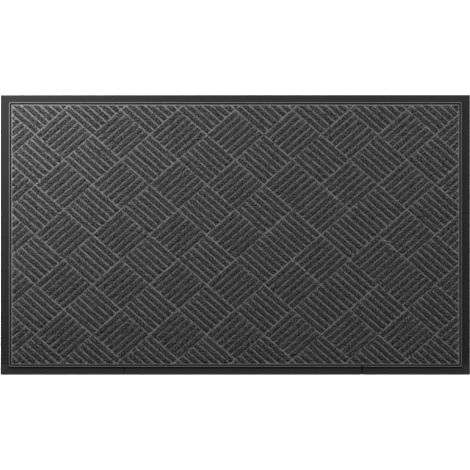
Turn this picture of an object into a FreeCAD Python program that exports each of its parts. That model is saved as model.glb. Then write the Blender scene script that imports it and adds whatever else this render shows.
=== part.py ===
import FreeCAD, Part
import os
import Sketcher

# A rubber-backed door mat, lying flat: a moulded rubber base with a ramped border, and a bonded
# stack of film, backing cloth and needled felt in its recess.
# Millimetres. The origin is the middle of the underside, +X runs along the mat, +Y across it and
# +Z up.

SIZES = [
    # The whole mat
    ("mat_length", 750.0),
    ("mat_width", 446.0),
    # Rubber base: the ramp climbs from the thin outer edge to the foot of the bead
    ("edge_thickness", 1.4),
    ("ramp_top", 3.2),
    ("side_border", 13.4),
    ("long_border", 11.5),
    ("bead_width", 2.2),
    ("bead_crest", 5.3),
    ("bead_round", 1.0),
    ("bead_outer_corner", 3.0),
    ("bead_inner_corner", 1.4),
    ("gutter_width", 2.0),
    ("floor_thickness", 2.2),
    # Two cuts across the front border
    ("cut_floor", 0.5),
    ("narrow_cut_place", -177.5),
    ("narrow_cut_width", 1.4),
    ("wide_cut_place", 202.0),
    ("wide_cut_width", 2.6),
    # Waffle of square cells under the base
    ("cell_pitch", 30.0),
    ("cell_columns", 24),
    ("cell_rows", 14),
    ("cell_rib", 4.0),
    ("cell_depth", 0.8),
    # The bonded stack, from the rubber up
    ("film_thickness", 0.3),
    ("scrim_thickness", 0.4),
    ("felt_thickness", 4.6),
    ("felt_corner", 1.0),
]

# Two places this close are the same place, in millimetres
SAME_PLACE = 0.0001
# A volume that a cut removes may be off by this share, and the front cuts remove at least this much
VOLUME_SLACK = 0.001
SMALLEST_CUTS = 50.0


def make_sheet(doc):
    """The driving dimensions, one row each, and the sizes that follow from them."""
    sheet = doc.addObject("Spreadsheet::Sheet", "Sizes")
    rows = [(name, str(value)) for name, value in SIZES]
    rows += [
        ("bead_length", "=mat_length - 2 * side_border"),
        ("bead_breadth", "=mat_width - 2 * long_border"),
        ("recess_length", "=bead_length - 2 * bead_width"),
        ("recess_breadth", "=bead_breadth - 2 * bead_width"),
        ("face_length", "=recess_length - 2 * gutter_width"),
        ("face_breadth", "=recess_breadth - 2 * gutter_width"),
        ("scrim_base", "=floor_thickness + film_thickness"),
        ("felt_base", "=scrim_base + scrim_thickness"),
        ("cell_side", "=cell_pitch - cell_rib"),
    ]
    for number, (name, value) in enumerate(rows, start=1):
        sheet.set(f"A{number}", name)
        sheet.set(f"B{number}", value)
        sheet.setAlias(f"B{number}", name)
    doc.recompute()
    return sheet


def origin_plane(body, role):
    """One of the body's own origin planes."""
    return next(plane for plane in body.Origin.OriginFeatures if plane.Role == role)


def add_rectangle(sketch, name, length, breadth, middle_x="0", middle_y="0"):
    """A rectangle whose sides and middle are expressions of the sizes."""
    first = sketch.GeometryCount
    # Any first size serves, because the constraints drive it from then on.
    half_long, half_broad = 10, 5
    signs = [(-1, -1), (1, -1), (1, 1), (-1, 1)]
    points = [FreeCAD.Vector(x * half_long, y * half_broad, 0) for x, y in signs]
    for number in range(4):
        sketch.addGeometry(Part.LineSegment(points[number], points[(number + 1) % 4]))
    for number in range(4):
        following = first + (number + 1) % 4
        sketch.addConstraint(Sketcher.Constraint("Coincident", first + number, 2, following, 1))
    for number, kind in enumerate(["Horizontal", "Vertical", "Horizontal", "Vertical"]):
        sketch.addConstraint(Sketcher.Constraint(kind, first + number))
    side = first + 1
    left, front = f"{middle_x} - ({length}) / 2", f"{middle_y} - ({breadth}) / 2"
    driven = [
        ("length", Sketcher.Constraint("DistanceX", first, 1, first, 2, 2 * half_long), length),
        ("breadth", Sketcher.Constraint("DistanceY", side, 1, side, 2, 2 * half_broad), breadth),
        ("left", Sketcher.Constraint("DistanceX", -1, 1, first, 1, -half_long), left),
        ("front", Sketcher.Constraint("DistanceY", -1, 1, first, 1, -half_broad), front),
    ]
    for word, constraint, size in driven:
        index = sketch.addConstraint(constraint)
        sketch.renameConstraint(index, f"{name}_{word}")
        sketch.setExpression(f"Constraints.{name}_{word}", size)


def flat_sketch(body, name, height):
    """An empty sketch parallel to the floor, at a height above it."""
    sketch = body.newObject("Sketcher::SketchObject", name)
    sketch.AttachmentSupport = [(origin_plane(body, "XY_Plane"), "")]
    sketch.MapMode = "FlatFace"
    sketch.setExpression(".AttachmentOffset.Base.z", height)
    return sketch


def add_pad(body, name, sketch, height):
    """Material added upwards from a sketch."""
    pad = body.newObject("PartDesign::Pad", name)
    pad.Profile = sketch
    pad.setExpression("Length", height)
    return pad


def add_pocket(body, name, sketch, depth, upwards=False):
    """Material removed from a sketch, downwards unless it is under the piece."""
    pocket = body.newObject("PartDesign::Pocket", name)
    pocket.Profile = sketch
    pocket.Reversed = upwards
    pocket.setExpression("Length", depth)
    return pocket


def add_fillet(body, name, base, edges, radius):
    """Rounded edges of the body's last feature."""
    fillet = body.newObject("PartDesign::Fillet", name)
    fillet.Base = (base, edges)
    fillet.setExpression("Radius", radius)
    return fillet


def upright_edges(shape, half_length, half_breadth):
    """The names of the four upright edges at the corners of a centred rectangle."""
    found = []
    for number, edge in enumerate(shape.Edges, start=1):
        box = edge.BoundBox
        upright = box.XLength < SAME_PLACE and box.YLength < SAME_PLACE
        off_x = abs(abs(box.Center.x) - half_length)
        off_y = abs(abs(box.Center.y) - half_breadth)
        if upright and max(off_x, off_y) < SAME_PLACE:
            found.append(f"Edge{number}")
    return found


def level_edges(shape, height):
    """The names of the level edges at a height."""
    found = []
    for number, edge in enumerate(shape.Edges, start=1):
        box = edge.BoundBox
        if box.ZLength < SAME_PLACE and abs(box.ZMin - height) < SAME_PLACE:
            found.append(f"Edge{number}")
    return found


def cell_line(body, name, sketch, axis, count):
    """Cells repeated in a straight line at their pitch."""
    line = body.newObject("PartDesign::LinearPattern", name)
    line.Direction = (sketch, [axis])
    line.setExpression("Length", f"({count} - 1) * Sizes.cell_pitch")
    line.setExpression("Occurrences", count)
    return line


def rubber_base(doc, sheet):
    """One rubber moulding: thin floor, ramped border, bead, recess, two cuts and a waffle below."""
    body = doc.addObject("PartDesign::Body", "RubberBase")
    body.Label = "rubber_base"

    outline = flat_sketch(body, "EdgeOutline", "0")
    add_rectangle(outline, "outline", "Sizes.mat_length", "Sizes.mat_width")
    add_pad(body, "EdgeSlab", outline, "Sizes.edge_thickness")

    ramp = body.newObject("PartDesign::AdditiveWedge", "Ramp")
    ramp.Placement = FreeCAD.Placement(FreeCAD.Vector(), FreeCAD.Rotation(FreeCAD.Vector(1, 0, 0), 90))
    wedge_sizes = {
        "X": "Sizes.mat_length / 2",
        "Z": "Sizes.mat_width / 2",
        "X2": "Sizes.bead_length / 2",
        "Z2": "Sizes.bead_breadth / 2",
    }
    for direction, half in wedge_sizes.items():
        ramp.setExpression(direction + "min", "-" + half)
        ramp.setExpression(direction + "max", half)
    ramp.setExpression("Ymin", "Sizes.edge_thickness")
    ramp.setExpression("Ymax", "Sizes.ramp_top")

    bead_outline = flat_sketch(body, "BeadOutline", "Sizes.ramp_top")
    add_rectangle(bead_outline, "bead", "Sizes.bead_length", "Sizes.bead_breadth")
    bead = add_pad(body, "BeadBlock", bead_outline, "Sizes.bead_crest - Sizes.ramp_top")
    doc.recompute()
    corners = upright_edges(bead.Shape, sheet.bead_length / 2, sheet.bead_breadth / 2)
    add_fillet(body, "BeadCorners", bead, corners, "Sizes.bead_outer_corner")

    recess_outline = flat_sketch(body, "RecessOutline", "Sizes.bead_crest")
    add_rectangle(recess_outline, "recess", "Sizes.recess_length", "Sizes.recess_breadth")
    recess_depth = "Sizes.bead_crest - Sizes.floor_thickness"
    recess = add_pocket(body, "Recess", recess_outline, recess_depth)
    doc.recompute()
    corners = upright_edges(recess.Shape, sheet.recess_length / 2, sheet.recess_breadth / 2)
    inner = add_fillet(body, "RecessCorners", recess, corners, "Sizes.bead_inner_corner")
    doc.recompute()
    crest_edges = level_edges(inner.Shape, sheet.bead_crest)
    add_fillet(body, "BeadCrest", inner, crest_edges, "Sizes.bead_round")

    cuts = flat_sketch(body, "CutOutlines", "Sizes.bead_crest")
    add_rectangle(
        cuts,
        "narrow",
        "Sizes.narrow_cut_width",
        "Sizes.long_border",
        "Sizes.narrow_cut_place",
        "(Sizes.long_border - Sizes.mat_width) / 2",
    )
    add_rectangle(
        cuts,
        "wide",
        "Sizes.wide_cut_width",
        "Sizes.long_border + Sizes.bead_width",
        "Sizes.wide_cut_place",
        "(Sizes.long_border + Sizes.bead_width - Sizes.mat_width) / 2",
    )
    add_pocket(body, "Cuts", cuts, "Sizes.bead_crest - Sizes.cut_floor")

    cell_outline = flat_sketch(body, "CellOutline", "0")
    add_rectangle(
        cell_outline,
        "cell",
        "Sizes.cell_side",
        "Sizes.cell_side",
        "-(Sizes.cell_columns - 1) * Sizes.cell_pitch / 2",
        "-(Sizes.cell_rows - 1) * Sizes.cell_pitch / 2",
    )
    cell = add_pocket(body, "Cell", cell_outline, "Sizes.cell_depth", upwards=True)
    waffle = body.newObject("PartDesign::MultiTransform", "Waffle")
    waffle.Originals = [cell]
    waffle.Transformations = [
        cell_line(body, "WaffleColumns", cell_outline, "H_Axis", "Sizes.cell_columns"),
        cell_line(body, "WaffleRows", cell_outline, "V_Axis", "Sizes.cell_rows"),
    ]
    body.Tip = waffle
    return body


def face_layer(doc, name, label, base, thickness, rounded=False):
    """One layer of the stack in the recess: a flat sheet cut to the size of the face."""
    body = doc.addObject("PartDesign::Body", name)
    body.Label = label
    outline = flat_sketch(body, name + "Outline", base)
    add_rectangle(outline, "sheet", "Sizes.face_length", "Sizes.face_breadth")
    pad = add_pad(body, name + "Sheet", outline, thickness)
    if rounded:
        doc.recompute()
        sheet = doc.getObject("Sizes")
        corners = upright_edges(pad.Shape, sheet.face_length / 2, sheet.face_breadth / 2)
        add_fillet(body, name + "Corners", pad, corners, "Sizes.felt_corner")
    return body


def check_sub_parts(doc, sheet, bodies):
    """Stops with a message if an object failed, or a shape is empty, broken or short of cuts."""
    for item in doc.Objects:
        if "Invalid" in item.State or "Error" in item.State:
            raise RuntimeError(f"{item.Label} failed: {item.State}")
    for body in bodies:
        if body.Shape.isNull() or not body.Shape.isValid() or len(body.Shape.Solids) != 1:
            raise RuntimeError(f"{body.Label} isn't one valid solid")
    cell_volume = sheet.cell_side**2 * sheet.cell_depth
    cells = sheet.cell_columns * sheet.cell_rows
    removed = doc.getObject("Cuts").Shape.Volume - doc.getObject("Waffle").Shape.Volume
    if abs(removed / (cell_volume * cells) - 1) > VOLUME_SLACK:
        raise RuntimeError(f"the waffle removed {removed:.0f} cubic mm")
    recess_depth = sheet.bead_crest - sheet.floor_thickness
    recess_volume = sheet.recess_length * sheet.recess_breadth * recess_depth
    dug = doc.getObject("BeadCorners").Shape.Volume - doc.getObject("Recess").Shape.Volume
    if abs(dug / recess_volume - 1) > VOLUME_SLACK:
        raise RuntimeError(f"the recess removed {dug:.0f} cubic mm")
    cut_away = doc.getObject("BeadCrest").Shape.Volume - doc.getObject("Cuts").Shape.Volume
    if cut_away < SMALLEST_CUTS:
        raise RuntimeError("the cuts in the front border removed nothing")


def main():
    doc = FreeCAD.newDocument("DoorMat")
    sheet = make_sheet(doc)
    bodies = [
        rubber_base(doc, sheet),
        face_layer(doc, "AdhesiveFilm", "adhesive_film", "Sizes.floor_thickness", "Sizes.film_thickness"),
        face_layer(doc, "ScrimCloth", "scrim_cloth", "Sizes.scrim_base", "Sizes.scrim_thickness"),
        face_layer(doc, "FaceFelt", "face_felt", "Sizes.felt_base", "Sizes.felt_thickness", rounded=True),
    ]
    doc.recompute()
    check_sub_parts(doc, sheet, bodies)
    os.makedirs("parts", exist_ok=True)
    for body in bodies:
        body.Shape.exportStep(f"parts/{body.Label}.step")
        box = body.Shape.BoundBox
        print(f"{body.Label}: {box.XLength:.1f} x {box.YLength:.1f} x {box.ZLength:.2f} mm,", end=" ")
        print(f"{body.Shape.Volume / 1000:.1f} cubic cm")


main()
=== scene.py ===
import math

import bpy
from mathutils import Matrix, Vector


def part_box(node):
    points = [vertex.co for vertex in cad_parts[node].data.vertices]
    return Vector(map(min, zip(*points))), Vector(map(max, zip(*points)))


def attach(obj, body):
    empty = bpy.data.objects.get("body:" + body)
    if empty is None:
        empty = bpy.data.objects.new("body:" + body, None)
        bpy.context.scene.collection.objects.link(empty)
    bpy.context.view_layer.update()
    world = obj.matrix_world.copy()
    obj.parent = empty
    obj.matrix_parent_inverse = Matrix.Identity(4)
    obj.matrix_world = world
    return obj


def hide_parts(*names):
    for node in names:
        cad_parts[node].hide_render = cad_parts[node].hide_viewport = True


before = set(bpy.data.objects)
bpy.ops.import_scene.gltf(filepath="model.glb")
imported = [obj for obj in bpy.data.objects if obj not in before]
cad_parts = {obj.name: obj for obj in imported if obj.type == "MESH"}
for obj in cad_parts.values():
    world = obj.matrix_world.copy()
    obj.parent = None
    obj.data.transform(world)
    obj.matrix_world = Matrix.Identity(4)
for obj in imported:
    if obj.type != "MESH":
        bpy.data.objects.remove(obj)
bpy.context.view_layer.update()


# ---------------------------------------------------------------------------------------------
# Rubber base. One black rubber moulding: a thin floor with a ramped border, and a bead that
# stands round the recess. It is pressed in a steel mould, which leaves a fine matt grain. Its
# front border is painted paler as painted light, and the crest of its bead carries a painted highlight.

MM = 0.001


def add_node(tree, kind, sockets=None, **settings):
    """A node with its settings. Each socket takes a value, or the output that feeds it."""
    node = tree.nodes.new(kind)
    for name, value in settings.items():
        setattr(node, name, value)
    for name, value in (sockets or {}).items():
        if isinstance(value, bpy.types.NodeSocket):
            tree.links.new(value, node.inputs[name])
        else:
            node.inputs[name].default_value = value
    return node


def reckon(tree, operation, *values):
    """One step of arithmetic on numbers."""
    return add_node(tree, "ShaderNodeMath", dict(enumerate(values)), operation=operation).outputs[0]


def fade(tree, value, start, end, at_start=0.0, at_end=1.0):
    """A smooth passage from one level to another as a value goes from start to end."""
    sockets = {0: value, 1: start, 2: end, 3: at_start, 4: at_end}
    return add_node(tree, "ShaderNodeMapRange", sockets, interpolation_type="SMOOTHSTEP").outputs[0]


def cloud(tree, vector, size, detail=2.0, roughness=0.5, distortion=0.0):
    """Soft random patches about as wide as size, from 0 to 1."""
    scale = reckon(tree, "DIVIDE", 1.0, size)
    sockets = {"Vector": vector, "Scale": scale, "Detail": detail, "Roughness": roughness}
    sockets["Distortion"] = distortion
    return add_node(tree, "ShaderNodeTexNoise", sockets).outputs[0]


def mix_colours(tree, share, first, second):
    """The first colour where share is 0, the second where it is 1."""
    sockets = {0: share, 6: first, 7: second}
    return add_node(tree, "ShaderNodeMix", sockets, data_type="RGBA").outputs[2]


def new_group(name, kind, inputs, outputs):
    """A node group with named sockets, and the nodes that stand for its inputs and outputs."""
    group = bpy.data.node_groups.new(name, kind)
    for word, socket_type in inputs.items():
        group.interface.new_socket(word, in_out="INPUT", socket_type="NodeSocket" + socket_type)
    for word, socket_type in outputs.items():
        group.interface.new_socket(word, in_out="OUTPUT", socket_type="NodeSocket" + socket_type)
    return group, add_node(group, "NodeGroupInput").outputs, add_node(group, "NodeGroupOutput")


def new_material(name, specular, sheen=0.0):
    """A material with its shader, and the piece's own coordinates in metres."""
    material = bpy.data.materials.new(name)
    material.use_nodes = True
    tree = material.node_tree
    shader = tree.nodes["Principled BSDF"]
    shader.inputs["Specular IOR Level"].default_value = specular
    shader.inputs["Sheen Weight"].default_value = sheen
    return material, tree, shader, add_node(tree, "ShaderNodeTexCoord").outputs["Object"]


def raise_relief(tree, shader, height, depth):
    """Small relief on a surface, depth metres from its lowest to its highest."""
    sockets = {"Height": height, "Strength": 1.0, "Distance": depth}
    tree.links.new(add_node(tree, "ShaderNodeBump", sockets).outputs[0], shader.inputs["Normal"])


def make_grain_group():
    """Matt mould grain, with the dust that settles in it."""
    group, given, result = new_group(
        "mould_grain",
        "ShaderNodeTree",
        {"Vector": "Vector", "Grain Size": "Float", "Dust Size": "Float"},
        {"Relief": "Float", "Dust": "Float"},
    )
    grain = cloud(group, given["Vector"], given["Grain Size"], 3.0, 0.65)
    patches = cloud(group, given["Vector"], given["Dust Size"], 4.0, 0.6, 0.4)
    specks = fade(group, grain, 0.5, 0.75)
    dust = reckon(group, "MULTIPLY", fade(group, patches, 0.42, 0.72), specks)
    group.links.new(grain, result.inputs["Relief"])
    group.links.new(dust, result.inputs["Dust"])
    return group


mould_grain = make_grain_group()


def make_rubber():
    """Black rubber with faint dust on the border, painted light along the front border, and a painted
    highlight on the crest of the bead.
    """
    material, tree, shader, place = new_material("black_rubber", specular=0.1)
    grain = add_node(tree, "ShaderNodeGroup", node_tree=mould_grain)
    tree.links.new(place, grain.inputs["Vector"])
    grain.inputs["Grain Size"].default_value = 0.7 * MM
    grain.inputs["Dust Size"].default_value = 45 * MM
    axes = add_node(tree, "ShaderNodeSeparateXYZ", {0: place}).outputs
    lowest_corner, highest_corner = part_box("rubber_base")
    front, crest = lowest_corner[1], highest_corner[2]
    full_dust_and_front_light = 0.6

    # The front border is painted greyer all along: painted light that lifts the shade it takes with both
    # lamps behind the mat.
    front_light_from, front_light_all = 0.92 * front, 0.95 * front
    painted_front_light = fade(tree, axes["Y"], front_light_from, front_light_all)
    painted_front_light = reckon(tree, "MULTIPLY", painted_front_light, full_dust_and_front_light)
    dust = reckon(tree, "MULTIPLY", grain.outputs["Dust"], full_dust_and_front_light)
    # The grey serves both the dust and the painted light on the front border.
    black, dust_and_front_light_grey = (0.0068, 0.0068, 0.0071, 1), (0.019, 0.0188, 0.0185, 1)
    colour = mix_colours(tree, reckon(tree, "ADD", dust, painted_front_light), black, dust_and_front_light_grey)

    # Only the round crest of the bead is painted paler, a painted highlight, brighter in some places
    # than in others.
    patchy = cloud(tree, place, 7 * MM, 3.0, 0.7)
    crest_highlight_from, crest_highlight_all = crest - 0.45 * MM, crest - 0.02 * MM
    crest_highlight = fade(tree, axes["Z"], crest_highlight_from, crest_highlight_all)
    crest_highlight = reckon(tree, "MULTIPLY", crest_highlight, fade(tree, patchy, 0.2, 0.75, 0.7, 1.0))
    crest_highlight_grey = (0.062, 0.062, 0.063, 1)
    tree.links.new(mix_colours(tree, crest_highlight, colour, crest_highlight_grey), shader.inputs["Base Color"])

    roughness = fade(tree, crest_highlight, 0.0, 1.0, 0.82, 0.75)
    roughness = reckon(tree, "ADD", roughness, reckon(tree, "MULTIPLY", dust, 0.2))
    tree.links.new(roughness, shader.inputs["Roughness"])
    raise_relief(tree, shader, grain.outputs["Relief"], 0.09 * MM)
    return material


def give_material(node, material):
    """A CAD node's own mesh with a finished material."""
    for slot in bpy.data.objects[node].material_slots:
        slot.material = material


give_material("rubber_base", make_rubber())


# ---------------------------------------------------------------------------------------------
# Adhesive film. A thin coat of black latex, spread on the floor of the recess while wet. It sets
# to a dull skin with brush-wide streaks, and holds the cloth stack down all over.


def make_latex():
    """Dried latex, dark and faintly streaked."""
    material, tree, shader, place = new_material("latex_bond", specular=0.4)
    streak_length, streaks_to_length = 40 * MM, 12.0
    sockets = {"Vector": place, "Scale": (1.0, streaks_to_length, 1.0)}
    stretched = add_node(tree, "ShaderNodeMapping", sockets).outputs[0]
    streaks = cloud(tree, stretched, streak_length, 4.0, 0.6)
    thick, thin = (0.016, 0.016, 0.015, 1), (0.035, 0.034, 0.031, 1)
    colour = mix_colours(tree, fade(tree, streaks, 0.3, 0.7), thick, thin)
    tree.links.new(colour, shader.inputs["Base Color"])
    tree.links.new(fade(tree, streaks, 0.3, 0.7, 0.45, 0.65), shader.inputs["Roughness"])
    raise_relief(tree, shader, streaks, 0.1 * MM)
    return material


give_material("adhesive_film", make_latex())


# ---------------------------------------------------------------------------------------------
# Scrim cloth. A plain weave of flat black polypropylene tapes, which the face fibres are needled
# through. It lies on the film, and only its cut edge can be seen, in the gutter.


def make_scrim():
    """Plain weave of flat tapes, over and under by turns, with painted light on their crowns and painted
    shade where they dip.
    """
    material, tree, shader, place = new_material("backing_cloth", specular=0.4)
    tape = 2.0 * MM
    axes = add_node(tree, "ShaderNodeSeparateXYZ", {0: place}).outputs
    count_x = reckon(tree, "DIVIDE", axes["X"], tape)
    count_y = reckon(tree, "DIVIDE", axes["Y"], tape)
    both = reckon(tree, "ADD", reckon(tree, "FLOOR", count_x), reckon(tree, "FLOOR", count_y))
    warp_on_top = reckon(tree, "FLOORED_MODULO", both, 2.0)
    crown_x = reckon(tree, "SINE", reckon(tree, "MULTIPLY", reckon(tree, "FRACT", count_x), math.pi))
    crown_y = reckon(tree, "SINE", reckon(tree, "MULTIPLY", reckon(tree, "FRACT", count_y), math.pi))
    weft_on_top = reckon(tree, "SUBTRACT", 1.0, warp_on_top)
    warp_crown = reckon(tree, "MULTIPLY", crown_x, warp_on_top)
    crown = reckon(tree, "ADD", warp_crown, reckon(tree, "MULTIPLY", crown_y, weft_on_top))
    # The crowns of the tapes are painted paler and their edges darker: painted light and painted shade
    # that follow the weave's relief.
    tape_edge_shade, tape_crown_light = (0.015, 0.015, 0.016, 1), (0.05, 0.05, 0.052, 1)
    tree.links.new(mix_colours(tree, crown, tape_edge_shade, tape_crown_light), shader.inputs["Base Color"])
    tree.links.new(fade(tree, crown, 0.0, 1.0, 0.7, 0.45), shader.inputs["Roughness"])
    raise_relief(tree, shader, crown, 0.15 * MM)
    return material


give_material("scrim_cloth", make_scrim())


# ---------------------------------------------------------------------------------------------
# Felt ground. Needle-punched polypropylene felt, one cloth with the pile bars above it. Hot dies
# press the grooves and the edge strip flat, which mats the fibres. The pressed felt is painted paler
# than the bars, partly as painted light that lifts the shade between the bars.

felt_low, felt_high = (Vector(corner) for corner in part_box("face_felt"))
half_length, half_breadth = felt_high.x, felt_high.y
edge_strip = 1.5 * MM
groove_depth = 1.5 * MM
ground_height = felt_high.z - groove_depth
tuft_size = 2.5 * MM


def reckon_vector(tree, operation, *values):
    """One step of arithmetic on vectors."""
    sockets = dict(enumerate(values))
    return add_node(tree, "ShaderNodeVectorMath", sockets, operation=operation).outputs[0]


def scaled(tree, vector, factor):
    """A vector made longer or shorter."""
    return add_node(tree, "ShaderNodeVectorMath", {0: vector, 3: factor}, operation="SCALE").outputs[0]


def combined(tree, x, y, z):
    """A vector from three numbers."""
    return add_node(tree, "ShaderNodeCombineXYZ", {0: x, 1: y, 2: z}).outputs[0]


def distance_inside(tree, place, half_long, half_broad):
    """How far a place lies inside the edge of a centred rectangle."""
    axes = add_node(tree, "ShaderNodeSeparateXYZ", {0: place}).outputs
    to_side = reckon(tree, "SUBTRACT", half_long, reckon(tree, "ABSOLUTE", axes["X"]))
    to_front = reckon(tree, "SUBTRACT", half_broad, reckon(tree, "ABSOLUTE", axes["Y"]))
    return reckon(tree, "MINIMUM", to_side, to_front)


def make_fibre_group():
    """Matted fibres: fine streaks that cross, in tufts that are darker or paler."""
    group, given, result = new_group(
        "needled_fibre",
        "ShaderNodeTree",
        {
            "Vector": "Vector",
            "Dark": "Color",
            "Pale": "Color",
            "Tuft Size": "Float",
            "Pale From": "Float",
        },
        {"Color": "Color", "Relief": "Float"},
    )
    fibre_width, width_to_length = 0.4 * MM, 0.3
    streaks = []
    for turn in (0.3, 1.4, 2.5):
        stretch = {"Rotation": (0, 0, turn), "Scale": (1.0, width_to_length, 1.0)}
        stretch["Vector"] = given["Vector"]
        turned = add_node(group, "ShaderNodeMapping", stretch).outputs[0]
        streaks.append(cloud(group, turned, fibre_width, 2.0, 0.6, 0.6))
    crossed = reckon(group, "MAXIMUM", streaks[0], reckon(group, "MAXIMUM", streaks[1], streaks[2]))
    matted = fade(group, crossed, 0.5, 0.75)
    blobs = cloud(group, given["Vector"], given["Tuft Size"], 1.0)
    pale_to = reckon(group, "ADD", given["Pale From"], 0.12)
    tufts = fade(group, blobs, given["Pale From"], pale_to)

    # Tufts give most of the tone, and single fibres the rest.
    tone_of_tufts, tone_of_fibres = 0.82, 0.18
    by_tufts = reckon(group, "MULTIPLY", tufts, tone_of_tufts)
    tone = reckon(group, "ADD", by_tufts, reckon(group, "MULTIPLY", matted, tone_of_fibres))
    group.links.new(mix_colours(group, tone, given["Dark"], given["Pale"]), result.inputs["Color"])
    relief_of_tufts, relief_of_fibres = 0.6, 0.4
    by_tufts = reckon(group, "MULTIPLY", blobs, relief_of_tufts)
    relief = reckon(group, "ADD", by_tufts, reckon(group, "MULTIPLY", matted, relief_of_fibres))
    group.links.new(relief, result.inputs["Relief"])
    return group


needled_fibre = make_fibre_group()


def make_felt(name, dark, pale, painted_rim, pale_from, depth):
    """Felt in tufts of two tones, dark and pale, with a rim painted paler along the edge strip: painted
    light that lifts the shade cast by the cut ends of the bars.
    """
    material, tree, shader, place = new_material(name, specular=0.12, sheen=0.05)
    fibre = add_node(tree, "ShaderNodeGroup", node_tree=needled_fibre)
    tree.links.new(place, fibre.inputs["Vector"])
    fibre.inputs["Dark"].default_value = dark
    fibre.inputs["Pale"].default_value = pale
    fibre.inputs["Tuft Size"].default_value = tuft_size
    fibre.inputs["Pale From"].default_value = pale_from
    to_edge = distance_inside(tree, place, half_length, half_breadth)
    # The rim along the edge strip is painted paler: painted light that lifts the shade cast by the cut
    # ends of the bars.
    at_painted_rim = fade(tree, to_edge, edge_strip, 0.8 * edge_strip)
    colour = mix_colours(tree, at_painted_rim, fibre.outputs["Color"], painted_rim)
    tree.links.new(colour, shader.inputs["Base Color"])
    tree.links.new(fade(tree, fibre.outputs["Relief"], 0.0, 1.0, 0.95, 0.75), shader.inputs["Roughness"])
    raise_relief(tree, shader, fibre.outputs["Relief"], depth)
    return material


# The pressed felt is painted paler than the pile, partly as painted light that lifts the shade falling
# into the grooves.
pressed_felt = make_felt(
    "pressed_felt",
    dark=(0.022, 0.022, 0.0222, 1),
    pale=(0.104, 0.104, 0.104, 1),
    painted_rim=(0.075, 0.075, 0.075, 1),
    pale_from=0.36,
    depth=0.6 * MM,
)


def run_tree(name, tree, sizes):
    """A geometry tree run with its sizes, and its result kept as a plain mesh."""
    piece = bpy.data.objects.new(name, bpy.data.meshes.new(name))
    bpy.context.collection.objects.link(piece)
    modifier = piece.modifiers.new("grow", "NODES")
    modifier.node_group = tree
    for socket in tree.interface.items_tree:
        if socket.in_out == "INPUT" and socket.name in sizes:
            modifier[socket.identifier] = sizes[socket.name]
    evaluated = piece.evaluated_get(bpy.context.evaluated_depsgraph_get())
    mesh = bpy.data.meshes.new_from_object(evaluated)
    piece.modifiers.remove(modifier)
    piece.data = mesh
    return piece


def finish_tree(tree, geometry, given, result, crease=math.pi):
    """The end of every tree: real mesh for instances, smooth up to a crease, and its material."""
    realized = add_node(tree, "GeometryNodeRealizeInstances", {0: geometry}).outputs[0]
    smooth = add_node(tree, "GeometryNodeSetShadeSmooth", {0: realized}).outputs[0]
    turn = add_node(tree, "GeometryNodeInputMeshEdgeAngle").outputs["Unsigned Angle"]
    sockets = {0: smooth, "Selection": reckon(tree, "GREATER_THAN", turn, crease), "Shade Smooth": False}
    creased = add_node(tree, "GeometryNodeSetShadeSmooth", sockets, domain="EDGE").outputs[0]
    finished = add_node(tree, "GeometryNodeSetMaterial", {0: creased, "Material": given["Material"]})
    tree.links.new(finished.outputs[0], result.inputs[0])


def make_ground_tree():
    """A closed sheet with a softly uneven top, pressed lower along its edge strip."""
    tree, given, result = new_group(
        "felt_ground_tree",
        "GeometryNodeTree",
        {
            "Half Length": "Float",
            "Half Breadth": "Float",
            "Bottom": "Float",
            "Top": "Float",
            "Edge Strip": "Float",
            "Edge Drop": "Float",
            "Unevenness": "Float",
            "Cells Along": "Int",
            "Cells Across": "Int",
            "Material": "Material",
        },
        {"Mesh": "Geometry"},
    )
    length = reckon(tree, "MULTIPLY", given["Half Length"], 2.0)
    breadth = reckon(tree, "MULTIPLY", given["Half Breadth"], 2.0)
    size = combined(tree, length, breadth, reckon(tree, "SUBTRACT", given["Top"], given["Bottom"]))
    sockets = {"Size": size, 1: given["Cells Along"], 2: given["Cells Across"], 3: 2}
    slab = add_node(tree, "GeometryNodeMeshCube", sockets).outputs["Mesh"]
    middle = reckon(tree, "MULTIPLY", reckon(tree, "ADD", given["Top"], given["Bottom"]), 0.5)
    sockets = {0: slab, "Offset": combined(tree, 0.0, 0.0, middle)}
    raised = add_node(tree, "GeometryNodeSetPosition", sockets).outputs[0]
    place = add_node(tree, "GeometryNodeInputPosition").outputs[0]
    axes = add_node(tree, "ShaderNodeSeparateXYZ", {0: place}).outputs
    to_edge = distance_inside(tree, place, given["Half Length"], given["Half Breadth"])
    strip_middle = reckon(tree, "MULTIPLY", given["Edge Strip"], 0.5)
    drop = fade(tree, to_edge, strip_middle, given["Edge Strip"], 1.0, 0.0)
    drop = reckon(tree, "MULTIPLY", drop, given["Edge Drop"])
    wave_length = 6 * MM
    waves = reckon(tree, "SUBTRACT", cloud(tree, place, wave_length, 2.0), 0.5)
    lift = reckon(tree, "SUBTRACT", reckon(tree, "MULTIPLY", waves, given["Unevenness"]), drop)
    on_top = reckon(tree, "GREATER_THAN", axes["Z"], middle)
    sockets = {0: raised, "Selection": on_top, "Offset": combined(tree, 0.0, 0.0, lift)}
    uneven = add_node(tree, "GeometryNodeSetPosition", sockets).outputs[0]
    finish_tree(tree, uneven, given, result, crease=math.radians(50))
    return tree


felt_ground = run_tree(
    "felt_ground",
    make_ground_tree(),
    {
        "Half Length": half_length,
        "Half Breadth": half_breadth,
        "Bottom": felt_low.z,
        "Top": ground_height,
        "Edge Strip": edge_strip,
        "Edge Drop": 0.1 * MM,
        "Unevenness": 0.35 * MM,
        "Cells Along": 240,
        "Cells Across": 140,
        "Material": pressed_felt,
    },
)
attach(felt_ground, "root")
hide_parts("face_felt")


# ---------------------------------------------------------------------------------------------
# Pile bars. The same felt, left standing between the pressed grooves. Bars lie six to a block,
# each block across its neighbours like a basket weave, and a small patch right of the middle is
# the other way round. The carpet's edge cuts through bars and blocks wherever it falls.

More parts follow.
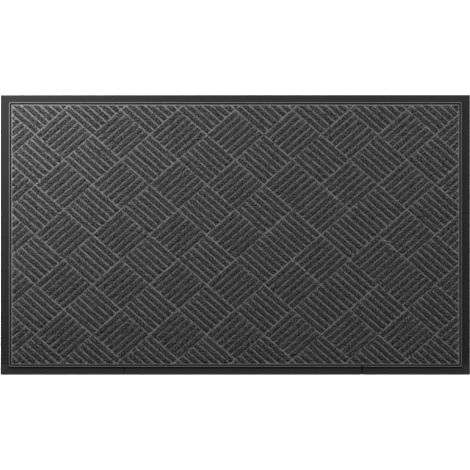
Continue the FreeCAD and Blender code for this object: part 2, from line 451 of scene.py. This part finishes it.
block_half_x = 45.62 * MM
block_half_y = 39.84 * MM
bars_per_block = 6
groove_width = 2.2 * MM
bar_root = 0.5 * MM

pile_felt = make_felt(
    "pile_felt",
    dark=(0.0012, 0.0012, 0.0013, 1),
    pale=(0.037, 0.037, 0.037, 1),
    painted_rim=(0.035, 0.035, 0.035, 1),
    pale_from=0.46,
    depth=0.8 * MM,
)


def make_bars_tree():
    """Rounded bars in blocks on a slanting lattice, cut off at the edge strip."""
    tree, given, result = new_group(
        "pile_bars_tree",
        "GeometryNodeTree",
        {
            "Half Length": "Float",
            "Half Breadth": "Float",
            "Block Half X": "Float",
            "Block Half Y": "Float",
            "Bars Per Block": "Int",
            "Blocks Each Way": "Int",
            "Groove Width": "Float",
            "Base": "Float",
            "Height": "Float",
            "Raggedness": "Float",
            "Material": "Material",
        },
        {"Mesh": "Geometry"},
    )
    half_x, half_y, bars = given["Block Half X"], given["Block Half Y"], given["Bars Per Block"]
    reach = given["Blocks Each Way"]
    span = reckon(tree, "ADD", reckon(tree, "MULTIPLY", reach, 2.0), 1.0)
    total = reckon(tree, "MULTIPLY", reckon(tree, "MULTIPLY", span, span), bars)
    points = add_node(tree, "GeometryNodePoints", {"Count": total}).outputs[0]

    number = add_node(tree, "GeometryNodeInputIndex").outputs[0]
    bar = reckon(tree, "FLOORED_MODULO", number, bars)
    block = reckon(tree, "FLOOR", reckon(tree, "DIVIDE", reckon(tree, "ADD", number, 0.5), bars))
    row = reckon(tree, "SUBTRACT", reckon(tree, "FLOORED_MODULO", block, span), reach)
    column = reckon(tree, "FLOOR", reckon(tree, "DIVIDE", reckon(tree, "ADD", block, 0.5), span))
    column = reckon(tree, "SUBTRACT", column, reach)
    falling = combined(tree, half_x, reckon(tree, "MULTIPLY", half_y, -1.0), 0.0)
    rising = combined(tree, half_x, half_y, 0.0)
    # The patch that lies the other way round: rows 1 to 3 and columns 1 and 2 from the middle.
    patch_row, rows_each_way = 2.0, 1.5
    patch_column, columns_each_way = 1.5, 1.0
    in_rows = reckon(tree, "COMPARE", row, patch_row, rows_each_way)
    in_columns = reckon(tree, "COMPARE", column, patch_column, columns_each_way)
    turned_patch = reckon(tree, "MULTIPLY", in_rows, in_columns)
    turns = reckon(tree, "ADD", reckon(tree, "ADD", row, column), turned_patch)
    turned = reckon(tree, "FLOORED_MODULO", turns, 2.0)
    upright = reckon(tree, "SUBTRACT", 1.0, turned)
    along = reckon_vector(tree, "ADD", scaled(tree, rising, upright), scaled(tree, falling, turned))
    across = reckon_vector(tree, "ADD", scaled(tree, rising, turned), scaled(tree, falling, upright))
    block_middle = reckon_vector(tree, "ADD", scaled(tree, falling, row), scaled(tree, rising, column))
    step = reckon(tree, "SUBTRACT", reckon(tree, "DIVIDE", reckon(tree, "ADD", bar, 0.5), bars), 0.5)
    middle = reckon_vector(tree, "ADD", block_middle, scaled(tree, across, step))

    captured = add_node(tree, "GeometryNodeCaptureAttribute", {0: points}, domain="POINT")
    for word, vector in (("middle", middle), ("along", along), ("across", across)):
        captured.capture_items.new("VECTOR", word)
        tree.links.new(vector, captured.inputs[word])

    vertices_across, vertices_along, vertices_up = 6, 9, 2
    sockets = {"Size": (1, 1, 1), 1: vertices_across, 2: vertices_along, 3: vertices_up}
    bar_shape = add_node(tree, "GeometryNodeMeshCube", sockets).outputs["Mesh"]
    sockets = {"Points": captured.outputs[0], "Instance": bar_shape}
    instances = add_node(tree, "GeometryNodeInstanceOnPoints", sockets).outputs[0]
    realized = add_node(tree, "GeometryNodeRealizeInstances", {0: instances}).outputs[0]

    # Side and end run from -1 to 1 across and along a bar, with its vertices closer together
    # towards its rounded edges.
    own_place = add_node(tree, "GeometryNodeInputPosition").outputs[0]
    own = add_node(tree, "ShaderNodeSeparateXYZ", {0: own_place}).outputs
    side = reckon(tree, "SINE", reckon(tree, "MULTIPLY", own["X"], math.pi))
    end = reckon(tree, "SINE", reckon(tree, "MULTIPLY", own["Y"], math.pi))
    side_roundness, end_roundness = 3.0, 9.0
    fall = []
    for share, power in ((side, side_roundness), (end, end_roundness)):
        hollow = reckon(tree, "POWER", reckon(tree, "ABSOLUTE", share), power)
        left_over = reckon(tree, "MAXIMUM", reckon(tree, "SUBTRACT", 1.0, hollow), 0.0)
        fall.append(reckon(tree, "POWER", left_over, 1.0 / 3.0))
    crown = reckon(tree, "MULTIPLY", fall[0], fall[1])
    edge_level = 0.35
    crown = reckon(tree, "ADD", edge_level, reckon(tree, "MULTIPLY", crown, 1.0 - edge_level))
    on_top = reckon(tree, "GREATER_THAN", own["Z"], 0.0)
    level = reckon(tree, "MULTIPLY", reckon(tree, "MULTIPLY", crown, on_top), given["Height"])
    level = reckon(tree, "ADD", level, given["Base"])

    # The groove takes its width from both sides of every bar, measured square to the bar.
    squares = (reckon(tree, "MULTIPLY", half, half) for half in (half_x, half_y))
    block_side = reckon(tree, "SQRT", reckon(tree, "ADD", *squares))
    block_area = reckon(tree, "MULTIPLY", reckon(tree, "MULTIPLY", half_x, half_y), 2.0)
    block_width = reckon(tree, "DIVIDE", block_area, block_side)
    groove = reckon(tree, "DIVIDE", given["Groove Width"], block_width)
    share_of_bar = reckon(tree, "DIVIDE", 1.0, bars)
    half_wide = reckon(tree, "MULTIPLY", reckon(tree, "SUBTRACT", share_of_bar, groove), 0.5)
    half_long = reckon(tree, "MULTIPLY", reckon(tree, "SUBTRACT", 1.0, groove), 0.5)
    sideways = scaled(tree, captured.outputs["across"], reckon(tree, "MULTIPLY", side, half_wide))
    endways = scaled(tree, captured.outputs["along"], reckon(tree, "MULTIPLY", end, half_long))
    from_middle = reckon_vector(tree, "ADD", sideways, endways)
    flat_place = reckon_vector(tree, "ADD", captured.outputs["middle"], from_middle)
    full_place = reckon_vector(tree, "ADD", flat_place, combined(tree, 0.0, 0.0, level))
    placed = add_node(tree, "GeometryNodeSetPosition", {0: realized, "Position": full_place}).outputs[0]

    # Needling pulls the bars' edges about, but leaves their roots where they are.
    place = add_node(tree, "GeometryNodeInputPosition").outputs[0]
    pull_size, root_thickness = 5 * MM, 0.1 * MM
    sockets = {"Vector": place, "Scale": 1 / pull_size, "Detail": 2.0}
    wander = add_node(tree, "ShaderNodeTexNoise", sockets).outputs["Color"]
    wander = reckon_vector(tree, "SUBTRACT", wander, (0.5, 0.5, 0.5))
    wander = scaled(tree, wander, given["Raggedness"])
    axes = add_node(tree, "ShaderNodeSeparateXYZ", {0: place}).outputs
    root_top = reckon(tree, "ADD", given["Base"], root_thickness)
    above_base = reckon(tree, "GREATER_THAN", axes["Z"], root_top)
    sockets = {0: placed, "Selection": above_base, "Offset": wander}
    ragged = add_node(tree, "GeometryNodeSetPosition", sockets).outputs[0]

    length = reckon(tree, "MULTIPLY", given["Half Length"], 2.0)
    breadth = reckon(tree, "MULTIPLY", given["Half Breadth"], 2.0)
    taller_than_the_mat = 0.1
    size = combined(tree, length, breadth, taller_than_the_mat)
    window = add_node(tree, "GeometryNodeMeshCube", {"Size": size}).outputs["Mesh"]
    cut = add_node(tree, "GeometryNodeMeshBoolean", operation="INTERSECT", solver="MANIFOLD")
    tree.links.new(ragged, cut.inputs["Mesh 2"])
    tree.links.new(window, cut.inputs["Mesh 2"])

    slope_width, level_at_edge = 2.5 * MM, 0.3
    to_edge = distance_inside(tree, place, given["Half Length"], given["Half Breadth"])
    slope = fade(tree, to_edge, 0.0, slope_width, level_at_edge, 1.0)
    rise = reckon(tree, "MULTIPLY", reckon(tree, "SUBTRACT", axes["Z"], given["Base"]), slope)
    sloped = combined(tree, axes["X"], axes["Y"], reckon(tree, "ADD", rise, given["Base"]))
    sockets = {0: cut.outputs[0], "Position": sloped}
    trimmed = add_node(tree, "GeometryNodeSetPosition", sockets).outputs[0]
    finish_tree(tree, trimmed, given, result, crease=math.radians(65))
    return tree


pile_bars = run_tree(
    "pile_bars",
    make_bars_tree(),
    {
        "Half Length": half_length - edge_strip,
        "Half Breadth": half_breadth - edge_strip,
        "Block Half X": block_half_x,
        "Block Half Y": block_half_y,
        "Bars Per Block": bars_per_block,
        "Blocks Each Way": 8,
        "Groove Width": groove_width,
        "Base": ground_height - bar_root,
        "Height": felt_high.z - ground_height + bar_root,
        "Raggedness": 0.8 * MM,
        "Material": pile_felt,
    },
)
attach(pile_bars, "root")


# ---------------------------------------------------------------------------------------------
# Fibres. The coarse polypropylene fibres of the same felt, which stand out of bars and grooves in
# arches where the needles pulled them up. Most are charcoal, and some are pale grey.

fibre_length = 4.6 * MM
fibre_thickness = 0.26 * MM
fibre_arch = 0.55 * MM
shortest_share, longest_share = 0.55, 1.25


def make_fibres_tree():
    """Small arched fibres scattered on a surface, each turned its own way."""
    tree, given, result = new_group(
        "fibres_tree",
        "GeometryNodeTree",
        {
            "Surface": "Object",
            "Cover": "Object",
            "Lowest": "Float",
            "Fibres Per Square Metre": "Float",
            "Length": "Float",
            "Thickness": "Float",
            "Arch": "Float",
            "Palest": "Float",
            "Seed": "Int",
            "Material": "Material",
        },
        {"Mesh": "Geometry"},
    )
    ground = add_node(tree, "GeometryNodeObjectInfo", {0: given["Surface"]}).outputs["Geometry"]
    sockets = {"Mesh": ground, "Density": given["Fibres Per Square Metre"], "Seed": given["Seed"]}
    scattered = add_node(tree, "GeometryNodeDistributePointsOnFaces", sockets)
    place = add_node(tree, "GeometryNodeInputPosition").outputs[0]
    cover = add_node(tree, "GeometryNodeObjectInfo", {0: given["Cover"]}).outputs["Geometry"]
    sockets = {"Target Geometry": cover, "Source Position": place}
    sockets |= {"Ray Direction": (0, 0, 1), "Ray Length": 10 * MM}
    covered = add_node(tree, "GeometryNodeRaycast", sockets).outputs["Is Hit"]
    height = add_node(tree, "ShaderNodeSeparateXYZ", {0: place}).outputs["Z"]
    buried = reckon(tree, "LESS_THAN", height, given["Lowest"])
    sockets = {0: scattered.outputs["Points"], 1: reckon(tree, "MAXIMUM", covered, buried)}
    shown = add_node(tree, "GeometryNodeDeleteGeometry", sockets).outputs[0]

    sockets = {"Vertices": 3, "Side Segments": 3, "Radius": 1.0, "Depth": 2.0}
    tube = add_node(tree, "GeometryNodeMeshCylinder", sockets).outputs["Mesh"]
    own = add_node(tree, "ShaderNodeSeparateXYZ", {0: place}).outputs
    along = own["Z"]
    bulge = reckon(tree, "SUBTRACT", 1.0, reckon(tree, "MULTIPLY", along, along))
    end_share, middle_share = 0.2, 0.5
    taper = reckon(tree, "MULTIPLY", bulge, middle_share - end_share)
    thick = reckon(tree, "MULTIPLY", given["Thickness"], reckon(tree, "ADD", end_share, taper))
    rise = reckon(tree, "MULTIPLY", bulge, given["Arch"])
    curved = combined(
        tree,
        reckon(tree, "MULTIPLY", along, reckon(tree, "MULTIPLY", given["Length"], 0.5)),
        reckon(tree, "MULTIPLY", own["Y"], thick),
        reckon(tree, "ADD", rise, reckon(tree, "MULTIPLY", own["X"], thick)),
    )
    fibre = add_node(tree, "GeometryNodeSetPosition", {0: tube, "Position": curved}).outputs[0]

    roll, pitch = 0.35, 0.25
    leans = {0: (-roll, -pitch, 0.0), 1: (roll, pitch, 2 * math.pi), "Seed": given["Seed"]}
    lean = add_node(tree, "FunctionNodeRandomValue", leans, data_type="FLOAT_VECTOR").outputs[0]
    sockets = {0: scattered.outputs["Rotation"], 1: lean}
    turned = add_node(tree, "FunctionNodeRotateRotation", sockets, rotation_space="LOCAL").outputs[0]
    size_seed = reckon(tree, "ADD", given["Seed"], 50)
    sizes = {2: shortest_share, 3: longest_share, "Seed": size_seed}
    size = add_node(tree, "FunctionNodeRandomValue", sizes, data_type="FLOAT").outputs[1]
    sockets = {"Points": shown, "Instance": fibre, "Rotation": turned, "Scale": size}
    planted = add_node(tree, "GeometryNodeInstanceOnPoints", sockets).outputs[0]
    tone_seed = reckon(tree, "ADD", given["Seed"], 90)
    tones = {2: 0.0, 3: given["Palest"], "Seed": tone_seed}
    tone = add_node(tree, "FunctionNodeRandomValue", tones, data_type="FLOAT").outputs[1]
    sockets = {0: planted, "Name": "fibre_tone", "Value": tone}
    settings = {"data_type": "FLOAT", "domain": "INSTANCE"}
    toned = add_node(tree, "GeometryNodeStoreNamedAttribute", sockets, **settings).outputs[0]
    finish_tree(tree, toned, given, result)
    return tree


def make_fibre_material():
    """Spun plastic fibre, charcoal or pale, a little shiny, and paler and rougher in patches."""
    material, tree, shader, place = new_material("fibre", specular=0.25, sheen=0.05)
    tone = add_node(tree, "ShaderNodeAttribute", attribute_name="fibre_tone").outputs["Fac"]
    clump = cloud(tree, place, tuft_size, 1.0)
    paleness = reckon(tree, "ADD", clump, reckon(tree, "MULTIPLY", tone, 0.2))
    pale_share = fade(tree, paleness, 0.58, 0.68)
    dulled_patch = 3 * MM
    dull = cloud(tree, place, dulled_patch, 2.0)
    charcoal = mix_colours(tree, dull, (0.002, 0.002, 0.0021, 1), (0.006, 0.006, 0.0062, 1))
    pale = mix_colours(tree, dull, (0.055, 0.055, 0.055, 1), (0.11, 0.11, 0.1095, 1))
    tree.links.new(mix_colours(tree, pale_share, charcoal, pale), shader.inputs["Base Color"])
    tree.links.new(fade(tree, dull, 0.3, 0.7, 0.55, 0.8), shader.inputs["Roughness"])
    return material


fibre_material = make_fibre_material()
fibres_tree = make_fibres_tree()


def grow_fibres(name, surface, cover, lowest, density, palest, seed):
    """One piece of fibres, density to the square metre, above lowest and clear of the cover."""
    return run_tree(
        name,
        fibres_tree,
        {
            "Surface": surface,
            "Cover": cover,
            "Lowest": lowest,
            "Fibres Per Square Metre": density,
            "Length": fibre_length,
            "Thickness": fibre_thickness,
            "Arch": fibre_arch,
            "Palest": palest,
            "Seed": seed,
            "Material": fibre_material,
        },
    )


# The fibres of the bars are grown in several pieces, so that no mesh is too large.
pile_pieces = 6
pile_density, groove_density = 34000.0, 100000.0
palest_in_pile, palest_in_grooves = 1.0, 3.0
below_ground = ground_height - 0.6 * MM
fibre_pieces = []
for seed in range(1, pile_pieces + 1):
    grown = grow_fibres(
        f"pile_fibres_{seed}",
        surface=pile_bars,
        cover=None,
        lowest=ground_height,
        density=pile_density,
        palest=palest_in_pile,
        seed=seed,
    )
    fibre_pieces.append(grown)
grown = grow_fibres(
    "groove_fibres",
    surface=felt_ground,
    cover=pile_bars,
    lowest=below_ground,
    density=groove_density,
    palest=palest_in_grooves,
    seed=pile_pieces + 1,
)
fibre_pieces.append(grown)

for piece in fibre_pieces:
    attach(piece, "root")


# ---------------------------------------------------------------------------------------------
# Floor, light and camera. A plain pale floor under two soft lamps behind the mat, a near one on
# the left and a far one on the right, with an even white surround. The camera looks straight down.

floor_mesh = bpy.data.meshes.new("floor")
floor_reach = 4.0
signs = ((-1, -1), (1, -1), (1, 1), (-1, 1))
floor_corners = [(x * floor_reach, y * floor_reach, 0) for x, y in signs]
floor_mesh.from_pydata(floor_corners, [], [(0, 1, 2, 3)])
floor = bpy.data.objects.new("floor", floor_mesh)
bpy.context.collection.objects.link(floor)
floor_paint, _, floor_shader, _ = new_material("floor_paint", specular=0.1)
floor_shader.inputs["Base Color"].default_value = (0.9, 0.9, 0.9, 1)
floor_shader.inputs["Roughness"].default_value = 0.9
floor_mesh.materials.append(floor_paint)

world = bpy.data.worlds.new("surround")
world.use_nodes = True
surround = world.node_tree.nodes["Background"].inputs
surround["Color"].default_value = (1, 1, 1, 1)
surround["Strength"].default_value = 0.3
bpy.context.scene.world = world

mat_middle = Vector((0, 0, felt_high.z))


def add_lamp(name, place, size, power):
    """A square soft lamp that faces the mat."""
    lamp = bpy.data.lights.new(name, "AREA")
    lamp.size = size
    lamp.energy = power
    holder = bpy.data.objects.new(name, lamp)
    holder.location = place
    holder.rotation_euler = (mat_middle - Vector(place)).to_track_quat("-Z", "Y").to_euler()
    bpy.context.collection.objects.link(holder)


add_lamp("key_lamp", (-0.60, 0.42, 0.38), 0.4, 16.5)
add_lamp("back_lamp", (0.95, 0.90, 0.95), 0.8, 44)

# The mat all but fills the frame from side to side, and the lens is long, so its far and near
# edges show alike.
camera_data = bpy.data.cameras.new("camera")
camera_data.lens = 200
camera_data.sensor_width = 36
camera = bpy.data.objects.new("camera", camera_data)
mat_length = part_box("rubber_base")[1][0] * 2
mat_share_of_view = 0.9987234
view_width = mat_length / mat_share_of_view
camera_height = view_width * camera_data.lens / camera_data.sensor_width
off_middle_x, off_middle_y = -0.5 * MM, -0.8 * MM
camera.location = (off_middle_x, off_middle_y, camera_height)
bpy.context.collection.objects.link(camera)
bpy.context.scene.camera = camera
bpy.context.scene.view_settings.view_transform = "Standard"
